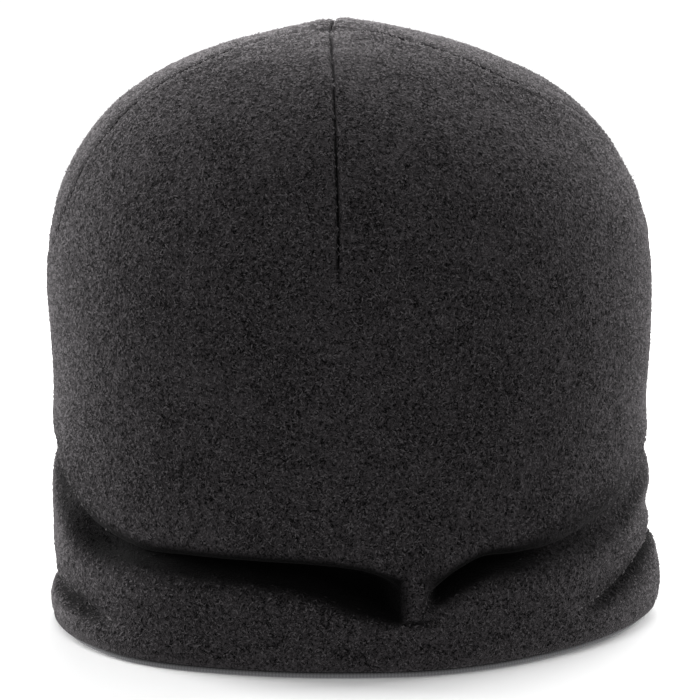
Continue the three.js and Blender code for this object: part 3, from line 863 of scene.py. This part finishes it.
# The strip in section: along the floor, round the turned edge, up the outside, over the top, down the
# inside and round the lower corner
round_off = np.radians([90, 60, 30, 0])
profile = [edge_row(FACING_INSIDE - EDGE_ROUND, 0)]
profile += [
    edge_row(edge_inset + EDGE_ROUND * (1 - np.sin(turn)), EDGE_ROUND * (1 - np.cos(turn)))
    for turn in round_off[::-1]
]
profile += [
    edge_row(edge_inset + EDGE_ROUND * (1 - np.sin(turn)), FACING_EDGE - EDGE_ROUND * (1 - np.cos(turn)))
    for turn in round_off
]
profile += [edge_row(FACING_OUTSIDE, FACING_EDGE)]
profile += [face_row(FACING_OUTSIDE, climb) for climb in FACING_CLIMBS]
profile += [face_row((FACING_OUTSIDE + FACING_INSIDE) / 2, FACING_TOP)]
profile += [face_row(FACING_INSIDE, climb) for climb in FACING_CLIMBS[::-1]]
profile += [
    edge_row(FACING_INSIDE - EDGE_ROUND * (1 - np.cos(turn)), EDGE_ROUND * (1 - np.sin(turn)))
    for turn in round_off[::-1]
]
profile = np.stack(profile, axis=1)
facing, (column, row) = wrapped_grid("hem_facing_cloth", profile)
round_rim = np.append(0, np.cumsum(np.linalg.norm(np.diff(rim_points, axis=0), axis=1)))
girth = np.append(0, np.cumsum(np.linalg.norm(np.diff(profile[0], axis=0), axis=1)))
corner_vertex = np.empty(len(facing.data.loops), dtype=int)
facing.data.loops.foreach_get("vertex_index", corner_vertex)
on_cloth = np.stack([round_rim[column[corner_vertex]], girth[row[corner_vertex]]], axis=1) * MM
facing.data.uv_layers.active.name = "cloth"
facing.data.uv_layers.active.data.foreach_set("uv", on_cloth.ravel())
facing = joined([facing])

# Knitted jersey of polyester and cotton: fine columns of loops that catch the light softly. Both the
# columns and the rows are a little coarser than real ones, so that they show.
WALE = 1.0 * MM
COURSE = 0.8 * MM
LOOP_SWAY = 0.12
jersey, tree = new_material("knitted_jersey")
on_strip = add_node(tree, "ShaderNodeUVMap", {"uv_map": "cloth"})
strip_axes = add_node(tree, "ShaderNodeSeparateXYZ", links={"Vector": on_strip.outputs["UV"]})
wale_place = add_node(
    tree, "ShaderNodeMath", {"operation": "DIVIDE"}, {1: WALE}, {0: strip_axes.outputs["X"]}
)
from_groove = add_node(
    tree, "ShaderNodeMath", {"operation": "PINGPONG"}, {1: 0.5}, {0: wale_place.outputs["Value"]}
)
course_place = add_node(
    tree, "ShaderNodeMath", {"operation": "DIVIDE"}, {1: COURSE}, {0: strip_axes.outputs["Y"]}
)
slanted = add_node(
    tree,
    "ShaderNodeMath",
    {"operation": "ADD"},
    links={0: course_place.outputs["Value"], 1: from_groove.outputs["Value"]},
)
loop_turn = add_node(
    tree, "ShaderNodeMath", {"operation": "MULTIPLY"}, {1: 2 * math.pi}, {0: slanted.outputs["Value"]}
)
loop_wave = add_node(tree, "ShaderNodeMath", {"operation": "SINE"}, links={0: loop_turn.outputs["Value"]})
loops = add_node(
    tree,
    "ShaderNodeMath",
    {"operation": "MULTIPLY_ADD"},
    {1: LOOP_SWAY},
    {0: loop_wave.outputs["Value"], 2: from_groove.outputs["Value"]},
)
# The loops are coloured lighter on their crests and darker in the grooves between columns, a painted shade
# that follows the relief
loop_colours = add_node(tree, "ShaderNodeValToRGB", links={"Fac": loops.outputs["Value"]})
loop_colours.color_ramp.elements[0].position = 0.0
loop_colours.color_ramp.elements[0].color = linear("#6a6a6c")
loop_colours.color_ramp.elements[1].position = 0.55
loop_colours.color_ramp.elements[1].color = linear("#818183")
loop_relief = add_node(
    tree,
    "ShaderNodeBump",
    values={"Strength": 0.6, "Distance": 0.2 * MM},
    links={"Height": loops.outputs["Value"]},
)
shader = add_node(
    tree,
    "ShaderNodeBsdfPrincipled",
    values={"Roughness": 0.9, "Specular IOR Level": 0.2, "Sheen Weight": 0.2, "Sheen Roughness": 0.4},
    links={"Base Color": loop_colours.outputs["Color"], "Normal": loop_relief.outputs["Normal"]},
)
add_node(tree, "ShaderNodeOutputMaterial", links={"Surface": shader.outputs["BSDF"]})
facing.data.materials.clear()
facing.data.materials.append(jersey)
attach(facing, "root")
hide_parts("hem_facing")

# The overlock stitches: spun polyester thread that zigzags over the facing's upper edge and holds it
# to the fleece, seen only from inside the cap. Each leg of it enters the cloth at two climbs, and
# arches between them: the shares of the way along it, and the heights there in widths of the thread.
STITCH_PITCH, THREAD = 3.0, 0.45
LOW_END, HIGH_END = np.array([0.72]), np.array([1.35])
ARCH = [(0.0, -0.2), (0.12, 0.3), (0.5, 1.5), (0.88, 0.3), (1.0, -0.2)]
stitches = round(round_rim[-1] / STITCH_PITCH)
corner = np.arange(2 * stitches + 1)
stitch_azimuths = SEAM_TURN + 360 * corner / (2 * stitches)
on_facing = cloth(stitch_azimuths, LOW_END) - outward(stitch_azimuths, LOW_END) * FACING_INSIDE
on_fleece = cloth(stitch_azimuths, HIGH_END) - outward(stitch_azimuths, HIGH_END) * WALL
thread_out = -outward(stitch_azimuths, (LOW_END + HIGH_END) / 2)[:, 0]
zigzag = np.where(corner[:, None] % 2 == 0, on_facing[:, 0], on_fleece[:, 0])
zigzag = zigzag + thread_out * THREAD / 2
leg = zigzag[1:] - zigzag[:-1]
leg_out = unit(thread_out[1:] + thread_out[:-1])
spine = np.stack([zigzag[:-1] + leg * share + leg_out * height * THREAD for share, height in ARCH], axis=1)
around_leg = (leg_out, np.cross(unit(leg), leg_out))
hem_stitches = strands("hem_stitches", spine, np.full((len(leg), 3), THREAD), around_leg, sides=6)

# Spun polyester thread: two plies twisted together, darker than the jersey
thread, tree = new_material("spun_polyester_thread")
place = add_node(tree, "ShaderNodeTexCoord").outputs["Object"]
plies = add_node(
    tree, "ShaderNodeTexNoise", values={"Scale": 1 / (THREAD * MM), "Detail": 1.0}, links={"Vector": place}
)
thread_colours = add_node(tree, "ShaderNodeValToRGB", links={"Fac": plies.outputs["Fac"]})
thread_colours.color_ramp.elements[0].color = linear("#1c1c1d")
thread_colours.color_ramp.elements[1].color = linear("#4a4a4c")
shader = add_node(
    tree,
    "ShaderNodeBsdfPrincipled",
    values={"Roughness": 0.7, "Specular IOR Level": 0.3, "Sheen Weight": 0.2},
    links={"Base Color": thread_colours.outputs["Color"]},
)
add_node(tree, "ShaderNodeOutputMaterial", links={"Surface": shader.outputs["BSDF"]})
hem_stitches.data.materials.append(thread)
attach(hem_stitches, "root")
